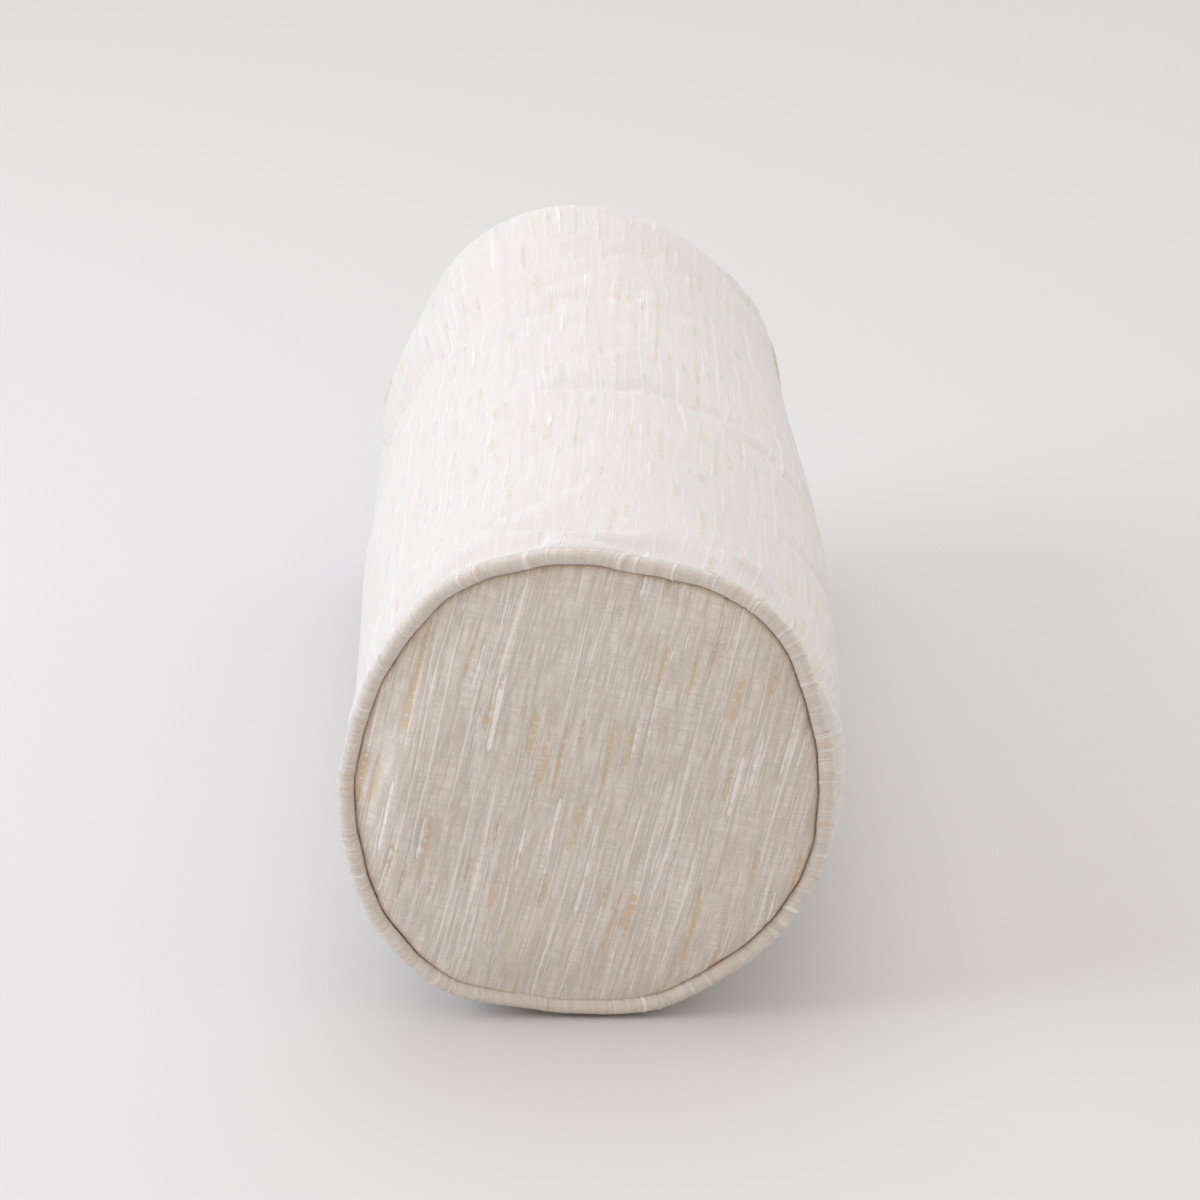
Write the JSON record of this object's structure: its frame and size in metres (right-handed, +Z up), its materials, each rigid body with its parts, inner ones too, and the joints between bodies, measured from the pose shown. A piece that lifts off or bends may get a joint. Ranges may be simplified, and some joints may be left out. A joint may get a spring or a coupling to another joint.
{
  "type": "bolster pillow",
  "caption": "Cylindrical bolster pillow with piped flat ends, in a removable zipped cover of ivory slub cloth over a soft filled insert.",
  "frame": {"origin": "bottom centre of the bounding box, on the surface the bolster lies on, midway between its ends", "axes": "+Z up; Y along the bolster, with its front end facing -Y and the zip's closed end near +Y; X across it, with the zip on the -X flank"},
  "size_m": [0.1842, 0.4766, 0.178],
  "materials": {
    "cover_cloth": "matte",
    "piping_cord": "matte",
    "sewing_thread": "satin",
    "zip_tape": "matte",
    "zip_teeth": "satin",
    "zip_metal": "satin",
    "insert_case": "matte",
    "fibre_filling": "matte"
  },
  "bodies": {
    "cover": {"tube_panel": "cover_cloth", "end_panel_front": "cover_cloth", "end_panel_rear": "cover_cloth", "piping_cover_front": "cover_cloth", "piping_cover_rear": "cover_cloth", "piping_cord_front": "piping_cord", "piping_cord_rear": "piping_cord", "seam_thread_front": "sewing_thread", "seam_thread_rear": "sewing_thread", "tube_seam_thread": "sewing_thread", "zip_stitching": "sewing_thread", "zip_tape_upper": "zip_tape", "zip_tape_lower": "zip_tape", "zip_teeth_upper": "zip_teeth", "zip_teeth_lower": "zip_teeth", "zip_top_stops": "zip_metal", "zip_bottom_stop": "zip_metal", "insert_tube": "insert_case", "insert_end_front": "insert_case", "insert_end_rear": "insert_case", "insert_filling": "fibre_filling"},
    "zip_slider_body": {"zip_slider": "zip_metal"},
    "zip_pull_body": {"zip_pull_tab": "zip_metal"}
  },
  "joints": [
    {"name": "zip_slide", "type": "slide", "parent": "cover", "child": "zip_slider_body", "axis": [0, -1, 0], "range_m": [0, 0.3335]},
    {"name": "pull_hinge", "type": "hinge", "parent": "zip_slider_body", "child": "zip_pull_body", "pos_m": [-0.09071, 0.1669, 0.07325], "axis": [0.1392, 0, -0.9903], "range_deg": [-4, 184]}
  ]
}
